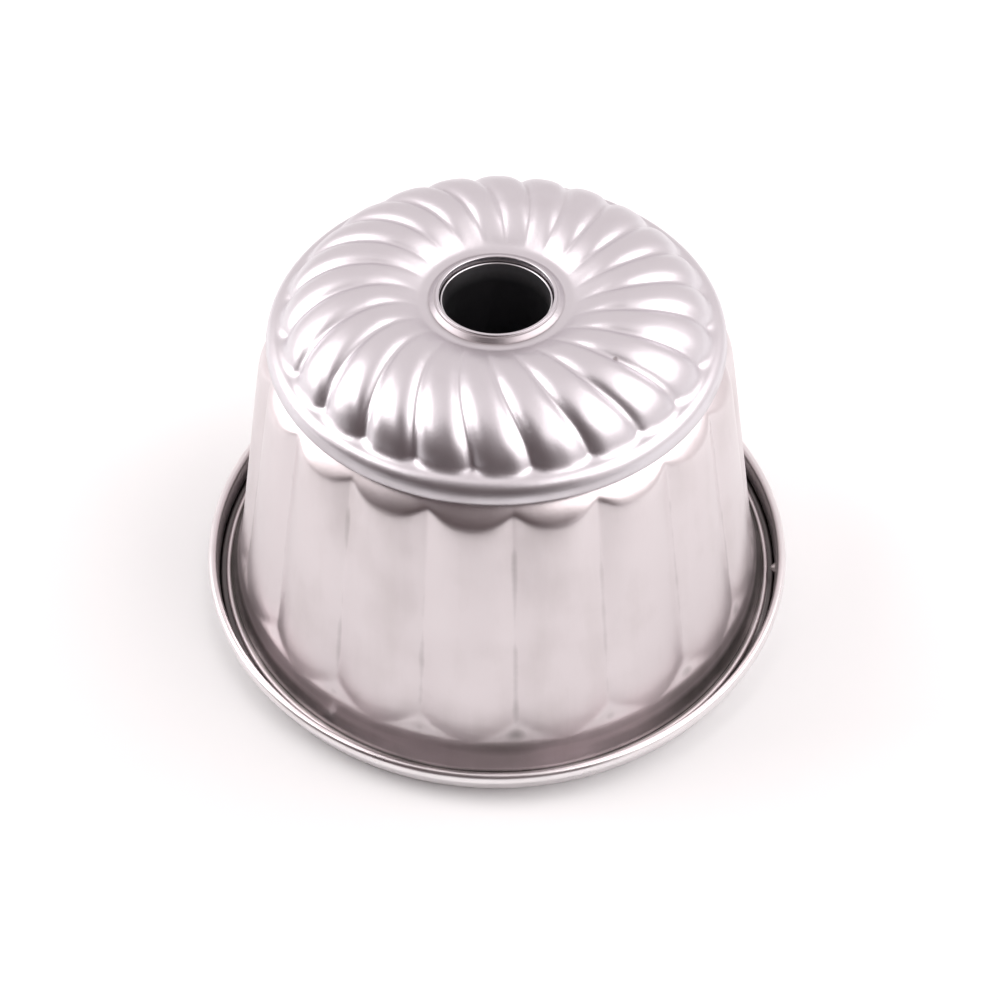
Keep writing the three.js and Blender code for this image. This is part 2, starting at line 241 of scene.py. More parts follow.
class NodeBench:
    """Adds and joins the nodes of one material."""

    def __init__(self, name: str) -> None:
        """Starts a material of that name with one surface shader.

        Args:
            name: Name of the material.
        """
        self.material = bpy.data.materials.new(name)
        self.material.use_nodes = True
        self.tree = self.material.node_tree
        self.shader = next(n for n in self.tree.nodes if n.type == "BSDF_PRINCIPLED")
        self.coordinates = self.tree.nodes.new("ShaderNodeTexCoord").outputs["Object"]

    def node(self, kind: str, **inputs: object) -> bpy.types.Node:
        """Adds a node and sets its inputs.

        Args:
            kind: The node's type, without its ShaderNode prefix.
            inputs: Values or output sockets by the inputs' names, with spaces as underscores.

        Returns:
            The new node.
        """
        made = self.tree.nodes.new(f"ShaderNode{kind}")
        for key, value in inputs.items():
            self.feed(made.inputs[key.replace("_", " ")], value)
        return made

    def feed(self, socket: bpy.types.NodeSocket, value: object) -> None:
        """Joins an output to a socket, or sets the socket to a plain value.

        Args:
            socket: The input to feed.
            value: An output socket or a plain value.
        """
        if isinstance(value, bpy.types.NodeSocket):
            self.tree.links.new(value, socket)
        else:
            socket.default_value = value

    def noise(self, scale: float, detail: float, stretch: Place = (1.0, 1.0, 1.0)) -> bpy.types.NodeSocket:
        """A noise over the piece.

        Args:
            scale: Features per metre.
            detail: Octaves of finer noise.
            stretch: Factors on the pattern along X, Y and Z.

        Returns:
            The noise's value socket.
        """
        mapped = self.node("Mapping", Vector=self.coordinates, Scale=stretch).outputs["Vector"]
        return self.node("TexNoise", Vector=mapped, Scale=scale, Detail=detail).outputs["Fac"]

    def band(self, value: bpy.types.NodeSocket, source: Pair, target: Pair) -> bpy.types.NodeSocket:
        """Maps one range of a value onto another, held at its ends.

        Args:
            value: The socket to map.
            source: The value's low end and high end.
            target: What the two ends become.

        Returns:
            The mapped socket.
        """
        mapped = self.node("MapRange", Value=value, From_Min=source[0], From_Max=source[1],
                           To_Min=target[0], To_Max=target[1])
        return mapped.outputs["Result"]

    def mix(self, share: bpy.types.NodeSocket, first: object, second: object) -> bpy.types.NodeSocket:
        """A colour between two.

        Args:
            share: How much of the second colour there is, from 0 to 1.
            first: The first colour or its socket.
            second: The second colour or its socket.

        Returns:
            The mixed colour's socket.
        """
        made = self.tree.nodes.new("ShaderNodeMix")
        made.data_type = "RGBA"
        sockets = {s.identifier: s for s in made.inputs}
        self.feed(sockets["Factor_Float"], share)
        self.feed(sockets["A_Color"], first)
        self.feed(sockets["B_Color"], second)
        return next(s for s in made.outputs if s.identifier == "Result_Color")

    def add(self, first: object, second: object) -> bpy.types.NodeSocket:
        """The sum of two numbers.

        Args:
            first: The first number or its socket.
            second: The second number or its socket.

        Returns:
            The sum's socket.
        """
        made = self.tree.nodes.new("ShaderNodeMath")
        made.operation = "ADD"
        self.feed(made.inputs[0], first)
        self.feed(made.inputs[1], second)
        return made.outputs["Value"]


@dataclass(frozen=True)
class SatinMetal:
    """Satin aluminium sheet: a bright metal with cloudy stains, drawn marks and painted shade in its creases
    and hollows.
    """

    name: str
    colour: Colour
    stain: Colour
    # Dark colour toward which painted shade darkens the metal in creases, hollows and gaps.
    painted_shade: Colour
    roughness: Pair
    grain: Grain
    stain_size: float = 26.0
    stain_amount: float = 0.5
    stain_onset: Pair = (0.95, 1.3)
    stain_octaves: float = 5.0
    blots_per_stain: float = 3.1
    blot_octaves: float = 4.0
    # Strength and onset of the painted shade.
    painted_shade_strength: float = 0.9
    painted_shade_onset: Pair = (0.8, 1.5)
    dull_onset: Pair = (0.35, 0.65)
    mark_size: float = 0.9
    mark_octaves: float = 3.0
    mark_depth: float = 0.06
    mark_relief: float = 0.2
    ripple_depth: float = 0.12
    ripple_relief: float = 2.0

    def material(self) -> bpy.types.Material:
        """Makes the metal's material.

        Returns:
            The material, with its nodes joined.
        """
        bench = NodeBench(self.name)
        clouds = bench.noise(1.0 / (self.stain_size * MM), self.stain_octaves)
        blots = bench.noise(self.blots_per_stain / (self.stain_size * MM), self.blot_octaves, self.grain.value)
        marks = bench.noise(1.0 / (self.mark_size * MM), self.mark_octaves, self.grain.value)
        stained = bench.band(bench.add(clouds, blots), self.stain_onset, (0.0, self.stain_amount))
        # Painted shade: the attribute plus the stain clouds sets how far the colour is darkened toward the
        # shade colour.
        crease = bench.node("Attribute")
        crease.attribute_name = PAINTED_SHADE_ATTRIBUTE
        shade_share = bench.band(bench.add(crease.outputs["Fac"], clouds), self.painted_shade_onset, (0.0, self.painted_shade_strength))
        clean = bench.mix(stained, opaque(self.colour), opaque(self.stain))
        bench.feed(bench.shader.inputs["Base Color"], bench.mix(shade_share, clean, opaque(self.painted_shade)))
        bench.shader.inputs["Metallic"].default_value = 1.0
        bench.feed(bench.shader.inputs["Roughness"], bench.band(clouds, self.dull_onset, self.roughness))
        fine = bench.node("Bump", Strength=self.mark_depth, Distance=self.mark_relief * MM, Height=marks)
        broad = bench.node("Bump", Strength=self.ripple_depth, Distance=self.ripple_relief * MM, Height=clouds,
                           Normal=fine.outputs["Normal"])
        bench.feed(bench.shader.inputs["Normal"], broad.outputs["Normal"])
        return bench.material


# The object


@dataclass
class Sheet:
    """What every piece is pressed from, and how a finished piece joins the frame."""

    name: str
    node: str
    slot: str
    body: Body
    finish: SatinMetal
    thickness: float = 0.8

    def build(self) -> bpy.types.Object:
        """Makes the piece's mesh."""
        raise NotImplementedError

    def dress(self) -> bpy.types.Object:
        """Builds the piece, gives it its finish and sets it in place of its solid.

        Returns:
            The finished piece.
        """
        piece = self.build()
        piece.data.materials.append(self.finish.material())
        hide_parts(self.node)
        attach(piece, self.body.value)
        LOG.info("%s: %d faces on %s", piece.name, len(piece.data.polygons), self.body.value)
        return piece


@dataclass
class LidPan(Sheet):
    """The lid: a flat pan with a plain skirt, a rim curled outwards and dimples that grip the mould's hem."""

    radius: float = 95.0
    rim_top: float = 10.25
    curl_radius: float = 1.5
    curl_half_height: float = 2.2
    curl_sweep: float = 270.0
    curl_inner_steps: int = 16
    curl_outer_steps: int = 36
    corner_radius: float = 2.0
    corner_steps: int = 8
    skirt_rows: int = 26
    skirt_margin: float = 0.01
    first_ring: float = 3.0
    floor_rings: int = 25
    columns: int = 180
    dimple_angles: tuple[float, ...] = (-7.5, 112.5, 232.5)
    dimple_height: float = 4.6
    dimple_half_width: float = 2.2
    dimple_reach: float = 1.7
    dimple_half_turn: float = 2.2
    dimple_columns: int = 29
    dimple_clearance: float = 0.5
    # Painted shade in the pan's inner corner, under the mould's hem.
    painted_shade_level: float = 1.2
    painted_shade_radii: Pair = (88.2, 89.4)
    painted_shade_heights: Pair = (1.6, 2.8)

    def skirt_radius(self) -> float:
        """Distance of the skirt's outer face from the axis."""
        return self.radius - 2.0 * self.curl_radius + self.thickness

    def profile(self) -> np.ndarray:
        """The pan's section, from the middle of its underside round to its inside.

        Returns:
            Rows of (distance from the axis, height).
        """
        curl = (self.radius - self.curl_radius, self.rim_top - self.curl_half_height)
        end = HALF_TURN - self.curl_sweep
        inside = self.curl_radius - self.thickness
        skirt_outer = self.skirt_radius()
        skirt_inner = skirt_outer - self.thickness
        corner = (skirt_outer - self.corner_radius, self.corner_radius)
        rings = np.linspace(self.first_ring, corner[0], self.floor_rings)[:-1]
        skirt = np.linspace(self.corner_radius, curl[1], self.skirt_rows)[1:-1]
        return np.concatenate([
            np.stack([rings, np.zeros_like(rings)], axis=1),
            arc(corner, self.corner_radius, -QUARTER_TURN, 0.0, self.corner_steps),
            np.stack([np.full_like(skirt, skirt_outer), skirt], axis=1),
            arc(curl, inside, HALF_TURN, end, self.curl_inner_steps,
                (self.curl_half_height - self.thickness) / inside),
            arc(curl, self.curl_radius, end, HALF_TURN, self.curl_outer_steps,
                self.curl_half_height / self.curl_radius),
            np.stack([np.full_like(skirt, skirt_inner), skirt], axis=1)[::-1],
            arc(corner, self.corner_radius - self.thickness, 0.0, -QUARTER_TURN, self.corner_steps),
            np.stack([rings, np.full_like(rings, self.thickness)], axis=1)[::-1],
        ])

    def angles(self) -> np.ndarray:
        """Angles of the columns, close together beside the dimples.

        Returns:
            Rising angles in degrees.
        """
        even = np.arange(self.columns) * FULL_TURN / self.columns
        spread = np.linspace(-self.dimple_half_turn, self.dimple_half_turn, self.dimple_columns)
        close = np.concatenate([angle + spread for angle in self.dimple_angles]) % FULL_TURN
        kept = [a for a in even if np.min(np.abs(turn_between(a, close))) > self.dimple_clearance]
        return np.sort(np.concatenate([kept, close]))

    def painted_shade(self, profile: np.ndarray) -> np.ndarray:
        """Painted shade in the corner between the pan's floor and its skirt, where the gap under the mould's
        hem lies in shadow.

        Args:
            profile: The pan's section.

        Returns:
            One amount per row of the section.
        """
        inside = np.arange(len(profile)) > len(profile) // 2
        outwards = np.interp(profile[:, 0], self.painted_shade_radii, RISE)
        return self.painted_shade_level * inside * outwards * np.interp(profile[:, 1], self.painted_shade_heights, FALL)

    def build(self) -> bpy.types.Object:
        """Makes the pan with its dimples pressed into the skirt.

        Returns:
            The lid.
        """
        profile, degrees = self.profile(), self.angles()
        columns = len(degrees)
        radius, height = in_rows(profile[:, 0], columns), in_rows(profile[:, 1], columns)
        for angle in self.dimple_angles:
            across = np.radians(turn_between(degrees, angle))[None, :] * radius
            away = np.hypot(across, height - self.dimple_height) / self.dimple_half_width
            on_skirt = (radius < self.skirt_radius() + self.skirt_margin) & (away < 1.0)
            radius = radius - np.where(on_skirt, self.dimple_reach * np.cos(0.5 * math.pi * away) ** 2, 0.0)
        # Painted shade per point, dark in the pan's inner corner.
        painted_shade_level = in_rows(self.painted_shade(profile), columns)
        return swept_piece(self.name, radius, height, degrees, painted_shade_level, capped=True)


@dataclass
class FlutedWall(Sheet):
    """The mould's wall: convex flutes on a cone, half-moon shoulders, a flared foot and a rolled hem."""

    flutes: Flutes = Flutes(count=18, columns=20, first_crease=-86.2, roundness=2.6, crease_width=0.03)
    low_depth: float = 1.7
    high_depth: float = 3.0
    reference_radius: float = 84.2
    reference_height: float = 10.4
    taper: float = 0.188
    flute_low: float = 12.0
    flute_low_full: float = 20.4
    flute_low_sharpness: float = 3.5
    foot_flare_top: float = 17.0
    foot_flare: float = 0.0098
    foot_lead: float = 2.0
    shoulder_height: float = 90.4
    shoulder_rise: float = 5.2
    shoulder_slopes: Pair = (0.7, 1.46)
    shoulder_blend: float = 0.8
    shoulder_lead: float = 4.0
    row_counts: tuple[int, ...] = (40, 36, 32, 24)
    stub_radius: float = 60.9
    stub_top: float = 101.5
    stub_rows: int = 5
    hem_radius: float = 0.9
    hem_centre: Pair = (89.0, 2.0)
    hem_curl: Pair = (165.0, -125.0)
    hem_steps: int = 30
    # Painted shade on the start of the hem, where it turns out of the crevice above the lid.
    hem_shade_ends: Pair = (1.0, -4.0)
    # Painted shade: dark lines down the creases between the flutes, here and on the crown.
    crease_shade: float = 0.4
    crease_shade_width: float = 0.05
    crease_shade_run: tuple[float, ...] = (14.0, 24.0, 80.0, 88.0)
    # Painted shade in blotches where the creases end at the foot, over the small spandrels between the flutes'
    # ends.
    blotch_shade: float = 0.45
    blotch_width: float = 0.1
    blotch_height: float = 14.6
    blotch_half_height: float = 2.0
    # Painted shade in a band over the foot under the flutes, darker toward the left and right sides, and full
    # in the crevice just above the hem.
    smear_shade: float = 0.4
    smear_run: tuple[float, ...] = (6.5, 9.5, 11.0, 13.5)
    side_shade: float = 1.1
    side_run: tuple[float, ...] = (2.4, 3.4, 6.5, 9.5)
    crevice_run: Pair = (2.4, 3.6)

    def crest_radius(self, height: np.ndarray) -> np.ndarray:
        """Distance of the flutes' crests from the axis, before the shoulder cuts them off."""
        cone = self.reference_radius - self.taper * (height - self.reference_height)
        return cone + self.foot_flare * np.maximum(self.foot_flare_top - height, 0.0) ** 2

    def shoulder(self, height: np.ndarray) -> np.ndarray:
        """The shoulder that cuts the flutes off below the seam.

        Args:
            height: Heights of its points.

        Returns:
            Their distances from the axis.
        """
        rise = (height - self.shoulder_height) / self.shoulder_rise
        first, last = self.shoulder_slopes
        bend = 0.5 * (last - first) * np.maximum(rise, 0.0) ** 2
        return self.crest_radius(self.shoulder_height) - self.shoulder_rise * (first * rise + bend)

    def heights(self) -> np.ndarray:
        """Heights of the outer face's rows, from the shoulder down to the hem, close where it bends.

        Returns:
            The heights in one column.
        """
        ends = (self.shoulder_height + self.shoulder_rise, self.shoulder_height - self.shoulder_lead,
                self.flute_low_full + self.foot_lead, self.flute_low, self.hem_centre[1])
        spans = zip(ends, ends[1:], self.row_counts)
        runs = [np.linspace(high, low, count)[:-1] for high, low, count in spans]
        return np.concatenate([*runs, ends[-1:]])[:, None]

    def painted_shade(self, height: np.ndarray) -> np.ndarray:
        """Painted shade on the outer face: in the creases and below them, over the foot, at its sides and above
        the hem.

        Args:
            height: Heights of the rows in one column.

        Returns:
            Rows of one amount per column.
        """
        # Painted shade in dark lines down the creases.
        off = self.flutes.off_crease()[None, :]
        run = np.interp(height, self.crease_shade_run, RISE_AND_FALL)
        lines = self.crease_shade * run * np.exp(-((off / self.crease_shade_width) ** 2))
        # Painted shade in blotches at the creases' feet.
        near = ((height - self.blotch_height) / self.blotch_half_height) ** 2 + (off / self.blotch_width) ** 2
        blotches = self.blotch_shade * np.exp(-near)
        # Painted shade over the foot, at its left and right sides and in the crevice.
        smear = self.smear_shade * np.interp(height, self.smear_run, RISE_AND_FALL)
        sideways = np.abs(np.cos(np.radians(self.flutes.degrees())))[None, :]
        sides = self.side_shade * sideways * np.interp(height, self.side_run, RISE_AND_FALL)
        crevice = np.interp(height, self.crevice_run, FALL)
        return np.maximum.reduce(np.broadcast_arrays(lines, blotches, smear, sides, crevice))

    def build(self) -> bpy.types.Object:
        """Makes the wall as one folded sheet with its hem.

        Returns:
            The wall.
        """
        height = self.heights()
        shares = self.flutes.dents()[None, :]
        fade = np.clip((height - self.flute_low) / (self.flute_low_full - self.flute_low), 0.0, 1.0)
        fade = fade**2 * (3.0 - 2.0 * fade)
        depth = np.interp(height, (self.flute_low_full, self.shoulder_height),
                          (self.low_depth, self.high_depth))
        plain, cut = self.crest_radius(height), self.shoulder(height)
        crest = soft_min(plain, cut, self.shoulder_blend)
        dent = crest - soft_min(plain - depth * soft_share(shares, fade, self.flute_low_sharpness), cut,
                                self.shoulder_blend)
        stub_height = np.linspace(self.stub_top, height[0, 0], self.stub_rows)[:-1, None]
        stub = np.concatenate([np.full_like(stub_height, self.stub_radius), stub_height], axis=1)
        outer = np.concatenate([stub, np.concatenate([crest, height], axis=1)])
        inner = offset_profile(outer, self.thickness)
        hem = arc(self.hem_centre, self.hem_radius, *self.hem_curl, self.hem_steps)
        dents = np.concatenate([np.zeros((len(stub), shares.size)), dent])
        loop = np.concatenate([outer, hem, inner[::-1]])
        loop_dents = np.concatenate([dents, np.zeros((len(hem), shares.size)), dents[::-1]])
        # Painted shade per point of the wall's outer face and hem.
        painted_shade_level = np.zeros_like(loop_dents)
        painted_shade_level[len(stub):len(outer)] = self.painted_shade(height)
        # Painted shade on the hem's first turn.
        hem_shade = np.linspace(*self.hem_shade_ends, len(hem)).clip(0.0)
        painted_shade_level[len(outer):len(outer) + len(hem)] = hem_shade[:, None]
        return swept_piece(self.name, loop[:, :1] - loop_dents, in_rows(loop[:, 1], shares.size),
                           self.flutes.degrees(), painted_shade_level)


@dataclass
class SwirlCrown(Sheet):
    """The mould's crown: swirled convex flutes between a raised collar and a rolled seam bead."""

    flutes: Flutes = Flutes(count=24, columns=18, first_crease=-95.7, roundness=2.9, crease_width=0.16)
    depth_radii: tuple[float, ...] = (22.0, 34.0, 52.0, 61.4)
    depth_shares: tuple[float, ...] = (0.25, 1.0, 1.0, 0.8)
    degrees_per_mm: float = 0.4
    depth_to_width: float = 0.15
    top: float = 116.8
    crest_radius: float = 38.0
    foot_radius: float = 62.4
    foot_height: float = 98.0
    foot_lean: float = 66.0
    foot_fullness: float = 2.1
    foot_rows: int = 41
    fillet_start: float = 72.0
    fillet_rows: int = 10
    twist_radius: float = 61.4
    start_radius: float = 22.0
    start_blend: float = 0.7
    start_fade: int = 3
    start_margin: float = 0.4
    start_rows: int = 40
    bead_radius: float = 4.0
    bead_centre: Pair = (61.8, 99.85)
    bead_tuck: float = -110.0
    bead_rows: int = 27
    bead_sag: float = 0.6
    bead_sag_angle: float = -35.0
    bead_sag_width: float = 30.0
    # Painted shade on the bead's lower and outer side.
    bead_shade: float = 0.38
    bead_shade_end: Pair = (15.0, 35.0)
    # Painted shade in the flutes' creases, growing outwards from the collar.
    crease_shade: float = 0.8
    crease_shade_radii: Pair = (25.0, 36.0)
    crease_shade_sharpness: int = 4
    collar_top: float = 112.6
    collar_step: float = 1.5
    collar_land: float = 17.2
    collar_land_round: float = 0.2
    collar_land_steps: int = 6
    collar_edge: float = 0.35
    collar_edge_steps: int = 8
    collar_slope: tuple[Pair, Pair] = ((19.05, -1.38), (17.75, -0.38))
    collar_slope_rows: int = 9
    collar_groove: Pair = (17.45, -0.45)
    collar_foot_radius: float = 19.25
    # Painted shade on the collar's side and groove, full in front and less behind.
    collar_shade_radii: tuple[float, ...] = (17.0, 17.25, 17.6, 17.8, 18.8, 19.1)
    collar_shade: tuple[float, ...] = (0.0, 1.1, 1.1, 0.95, 0.95, 1.2)
    collar_shade_behind: float = 0.55
    # Painted shade inside the bore, just below its edge.
    bore_shade: float = 1.2
    bore_shade_depths: Pair = (0.3, 0.6)
    # Painted shade on the plain ring round the collar, full in front and less behind.
    ring_shade: float = 0.65
    ring_shade_end: float = 22.0
    # Painted shade in one small pit on a flute.
    speck_place: Pair = (43.2, -42.6)
    speck_size: float = 0.9
    speck_shade: float = 1.4
    bore_radius: float = 16.2
    neck_low: float = 104.0
    neck_rows: int = 8

    def depths(self, radius: np.ndarray) -> np.ndarray:
        """Depth of the creases at a distance from the axis."""
        width = radius * 2.0 * math.pi / self.flutes.count
        return self.depth_to_width * width * np.interp(radius, self.depth_radii, self.depth_shares)

    def flute_feet(self) -> tuple[np.ndarray, np.ndarray]:
        """The outer ends of the flutes, up to the top of the crown.

        Returns:
            Points on the crest line, and the way from each to the crease beside it.
        """
        leans = np.radians(np.linspace(self.foot_lean, 0.0, self.foot_rows))
        power = 2.0 / self.foot_fullness
        out, up = np.sin(leans) ** power, np.cos(leans) ** power
        radius = self.crest_radius + (self.foot_radius - self.crest_radius) * out
        crest = np.stack([radius, self.foot_height + (self.top - self.foot_height) * up], axis=1)
        return crest, -self.depths(radius)[:, None] * np.stack([np.sin(leans), np.cos(leans)], axis=1)

    def flute_starts(self) -> tuple[np.ndarray, np.ndarray]:
        """The inner ends of the flutes, down from the top of the crown into the plain ring round the collar.

        Returns:
            Points on the crest line, and the way from each to the crease beside it.
        """
        end = self.collar_foot_radius + self.start_margin
        radius = np.linspace(self.crest_radius, end, self.start_rows)[1:]
        way = (self.crest_radius - radius) / (self.crest_radius - self.start_radius)
        ring = self.collar_top - self.collar_step
        slope = self.top - (self.top - ring) * way**2
        height = np.minimum(-soft_min(-slope, np.full_like(way, -ring), self.start_blend), self.top)
        depth = self.depths(radius) * np.clip(1.0 - way**self.start_fade, 0.0, 1.0)
        return np.stack([radius, height], axis=1), np.stack([np.zeros_like(depth), -depth], axis=1)

    def collar(self) -> np.ndarray:
        """The collar's section, from its foot over its top and down the bore.

        Returns:
            Rows of (distance from the axis, height).
        """
        edge, top, rounding = self.collar_edge, self.collar_top, self.collar_land_round
        neck = np.linspace(top - edge, self.neck_low, self.neck_rows)[1:]
        land = np.linspace(self.collar_land - rounding, self.bore_radius + edge, self.collar_land_steps)[1:-1]
        low_end, high_end = np.array(self.collar_slope)
        way = np.linspace(0.0, 1.0, self.collar_slope_rows)[:, None]
        return np.concatenate([
            [[self.collar_foot_radius, top - self.collar_step]],
            (1.0 - way) * low_end + way * high_end + [0.0, top],
            [np.add(self.collar_groove, (0.0, top))],
            arc((self.collar_land - rounding, top - rounding), rounding, 0.0, QUARTER_TURN,
                self.collar_land_steps),
            np.stack([land, np.full_like(land, top)], axis=1),
            arc((self.bore_radius + edge, top - edge), edge, QUARTER_TURN, HALF_TURN, self.collar_edge_steps),
            np.stack([np.full_like(neck, self.bore_radius), neck], axis=1),
        ])

    def bead(self) -> tuple[np.ndarray, np.ndarray]:
        """The seam bead's section, fuller below than above.

        Returns:
            Rows of (distance from the axis, height), and the painted shade on each, dark over the bead's lower
            and outer side.
        """
        turn = np.linspace(self.bead_tuck, self.fillet_start, self.bead_rows)
        sag = self.bead_sag * np.exp(-(((turn - self.bead_sag_angle) / self.bead_sag_width) ** 2))
        section = arc(self.bead_centre, self.bead_radius + sag, turn[0], turn[-1], len(turn) - 1)
        return section, self.bead_shade * np.interp(turn, self.bead_shade_end, FALL)

    def fillet(self, radius: np.ndarray, height: np.ndarray) -> tuple[np.ndarray, np.ndarray]:
        """The hollow between the seam bead and the feet of the flutes.

        Args:
            radius: Distance from the axis of the first two rows of the flutes, one column per angle.
            height: Height of the same points.

        Returns:
            Distances from the axis and heights, in rows from the bead to the flutes.
        """
        angle = math.radians(self.fillet_start)
        bead = (self.bead_centre[0] + self.bead_radius * math.cos(angle),
                self.bead_centre[1] + self.bead_radius * math.sin(angle))
        ledge = np.minimum(self.bead_centre[1] + self.bead_radius, height[0])
        lean = (radius[0] - radius[1]) / (height[1] - height[0])
        corner = np.minimum(radius[0] + lean * (height[0] - ledge), bead[0])
        way = np.linspace(0.0, 1.0, self.fillet_rows)[1:-1, None]
        first, middle, last = (1.0 - way) ** 2, 2.0 * way * (1.0 - way), way**2
        return (first * bead[0] + middle * corner + last * radius[0],
                first * bead[1] + middle * ledge + last * height[0])

    def facing(self, degrees: np.ndarray) -> np.ndarray:
        """How much of the collar's painted shade there is at each angle: all of it in front, and less behind.
        """
        ahead = np.clip(-np.sin(np.radians(degrees)), 0.0, 1.0)
        return self.collar_shade_behind + (1.0 - self.collar_shade_behind) * ahead[None, :]

    def flute_shade(self, crest: np.ndarray, radius: np.ndarray, degrees: np.ndarray) -> np.ndarray:
        """Painted shade on the flutes: in their creases, on the plain ring that they start from, and in one
        small pit.

        Args:
            crest: Rows of (distance from the axis, height) along the crest line.
            radius: Distance of each point from the axis, one row per crest point and one column per angle.
            degrees: Angle of each point, in the same rows and columns.

        Returns:
            Rows of one amount per column.
        """
        outwards = np.interp(crest[:, :1], self.crease_shade_radii, RISE)
        creases = self.crease_shade * outwards * self.flutes.dents()[None, :] ** self.crease_shade_sharpness
        ring = np.interp(crest[:, :1], (crest[-1, 0], self.ring_shade_end), FALL)
        speck_radius, speck_degrees = self.speck_place
        turn = np.radians(degrees - speck_degrees)
        away = np.sqrt(radius**2 + speck_radius**2 - 2.0 * radius * speck_radius * np.cos(turn))
        speck = np.interp(away, (0.0, self.speck_size), (self.speck_shade, 0.0))
        return creases + self.ring_shade * ring * self.facing(degrees[-1]) + speck

    def collar_painted_shade(self, collar: np.ndarray, degrees: np.ndarray) -> np.ndarray:
        """Painted shade on the collar's side and groove, and inside the bore.

        Args:
            collar: The collar's section.
            degrees: Angle of each column.

        Returns:
            Rows of one amount per column.
        """
        # Painted shade down the bore.
        in_bore = np.interp(self.collar_top - collar[:, 1:], self.bore_shade_depths, (0.0, self.bore_shade))
        on_collar = np.interp(collar[:, :1], self.collar_shade_radii, self.collar_shade)
        is_bore = collar[:, :1] < self.collar_shade_radii[0]
        return np.where(is_bore, in_bore, on_collar * self.facing(degrees))

    def build(self) -> bpy.types.Object:
        """Makes the crown with its bead, flutes, collar and neck.

        Returns:
            The crown.
        """
        bead, bead_shade = self.bead()
        foot, foot_dent = self.flute_feet()
        start, start_dent = self.flute_starts()
        crest, dent = np.concatenate([foot, start]), np.concatenate([foot_dent, start_dent])
        share = self.flutes.dents()[None, :]
        radius, height = crest[:, :1] + dent[:, :1] * share, crest[:, 1:] + dent[:, 1:] * share
        fillet_radius, fillet_height = self.fillet(radius, height)
        collar = self.collar()
        neck_outer = self.bore_radius + self.thickness
        neck = [[neck_outer, self.neck_low], [neck_outer, self.collar_top - self.collar_step - self.thickness]]
        hole = np.concatenate([collar, neck])
        inner = offset_profile(np.concatenate([bead, crest]), -self.thickness)
        inner_dent = np.concatenate([np.zeros_like(bead), dent])
        inside = (inner[:, :, None] + inner_dent[:, :, None] * share[None])[::-1]
        columns = share.size
        loop_radius = np.concatenate([in_rows(bead[:, 0], columns), fillet_radius, radius,
                                      in_rows(hole[:, 0], columns), inside[:, 0]])
        loop_height = np.concatenate([in_rows(bead[:, 1], columns), fillet_height, height,
                                      in_rows(hole[:, 1], columns), inside[:, 1]])
        crests = np.concatenate([bead[:, 0], np.full(len(fillet_radius), foot[0, 0]), crest[:, 0],
                                 np.full(len(hole), crest[-1, 0]), crest[::-1, 0], bead[::-1, 0]])
        twist = self.degrees_per_mm * np.minimum(crests - self.twist_radius, 0.0)
        degrees = self.flutes.degrees()[None, :] + twist[:, None]
        first = len(bead) + len(fillet_radius)
        last = first + len(crest)
        # Painted shade per point: on the bead's lower side, along the flutes' creases, round the collar, in the
        # bore and in one pit.
        painted_shade_level = np.zeros_like(loop_radius)
        painted_shade_level[:len(bead)] = bead_shade[:, None]
        painted_shade_level[first:last] = self.flute_shade(crest, radius, degrees[first:last])
        painted_shade_level[last:last + len(collar)] = self.collar_painted_shade(collar, degrees[last])
        return swept_piece(self.name, loop_radius, loop_height, degrees, painted_shade_level)


@dataclass
class CentreTube(Sheet):
    """The blind tube down the middle of the mould, its open end set just under the collar's edge."""

    top: float = 110.8
    top_radius: float = 15.95
    lip_thickness: float = 0.6
    lip_steps: int = 12
    neck_low: float = 104.0
    side_rows: int = 20
    end: float = 4.0
    end_radius: float = 11.5
    end_round: float = 4.0
    end_steps: int = 10
    first_ring: float = 1.0
    floor_rings: int = 8
    columns: int = 96
    # Painted shade over the tube below its lip, which stays bright.
    painted_shade_depths: Pair = (1.6, 0.4)

    def build(self) -> bpy.types.Object:
        """Makes the tube as a turned body with a rounded lip and a rounded closed end.

        Returns:
            The tube.
        """
        centre = (self.end_radius - self.end_round, self.end + self.end_round)
        lip = 0.5 * self.lip_thickness
        side = np.linspace(0.0, 1.0, self.side_rows)[1:, None]
        outside = (1.0 - side) * [self.end_radius, centre[1]] + side * [self.top_radius, self.neck_low]
        inside = outside - ((1.0 - side) * self.thickness + side * self.lip_thickness) * [1.0, 0.0]
        rings = np.linspace(self.first_ring, centre[0], self.floor_rings)[:-1]
        section = np.concatenate([
            np.stack([rings, np.full_like(rings, self.end)], axis=1),
            arc(centre, self.end_round, -QUARTER_TURN, 0.0, self.end_steps),
            outside,
            arc((self.top_radius - lip, self.top - lip), lip, 0.0, HALF_TURN, self.lip_steps),
            inside[::-1],
            arc(centre, self.end_round - self.thickness, 0.0, -QUARTER_TURN, self.end_steps),
            np.stack([rings, np.full_like(rings, self.end + self.thickness)], axis=1)[::-1],
        ])
        degrees = np.arange(self.columns) * FULL_TURN / self.columns
        radius, height = in_rows(section[:, 0], self.columns), in_rows(section[:, 1], self.columns)
        # Painted shade: dark below the lip, fading out toward its edge.
        painted_shade_level = np.interp(height, tuple(self.top - depth for depth in self.painted_shade_depths), FALL)
        return swept_piece(self.name, radius, height, degrees, painted_shade_level, capped=True)


# The studio


def rectangle(name: str, half_width: float, half_depth: float, level: float = 0.0) -> bpy.types.Mesh:
    """Makes a mesh of one level rectangle.

    Args:
        name: Name of the mesh.
        half_width: Half of its size along X.
        half_depth: Half of its size along Y.
        level: Its height.

    Returns:
        The new mesh.
    """
    mesh = bpy.data.meshes.new(name)
    mesh.from_pydata([(-half_width, -half_depth, level), (half_width, -half_depth, level),
                      (half_width, half_depth, level), (-half_width, half_depth, level)], [], [(0, 1, 2, 3)])
    return mesh


